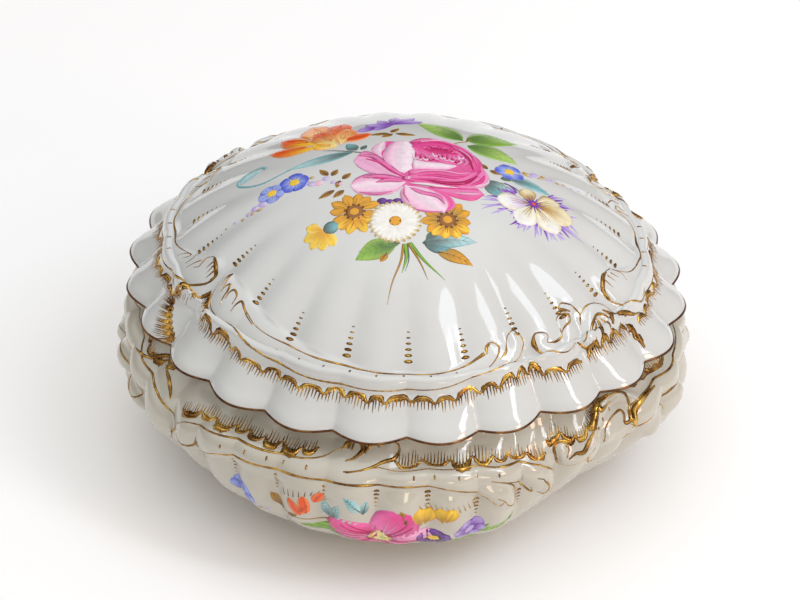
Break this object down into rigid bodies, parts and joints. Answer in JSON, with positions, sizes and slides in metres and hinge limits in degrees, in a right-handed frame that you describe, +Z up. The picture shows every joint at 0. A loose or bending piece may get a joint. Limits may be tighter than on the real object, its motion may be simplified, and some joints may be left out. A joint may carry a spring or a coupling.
{
  "type": "porcelain trinket box",
  "caption": "Lobed oval porcelain trinket box with a lift-off domed lid, scalloped rim, moulded scroll bands, gilding and painted flowers.",
  "frame": {"origin": "centre of the foot ring's underside, on the surface the box stands on", "axes": "+X along the longer axis of the lobed oval, +Y across it with the front lobe towards -Y, +Z up"},
  "size_m": [0.1646, 0.1606, 0.089],
  "materials": {
    "base_porcelain": "glossy transparent glaze over white porcelain, gilded and painted",
    "lid_porcelain": "glossy transparent glaze over white porcelain, gilded and painted"
  },
  "bodies": {
    "base_body": {"box_base": "base_porcelain"},
    "lid_body": {"box_lid": "lid_porcelain"}
  },
  "joints": [
    {"name": "lid_lift", "type": "slide", "parent": "base_body", "child": "lid_body", "axis": [0, 0, 1], "range_m": [0, 0.06]}
  ]
}
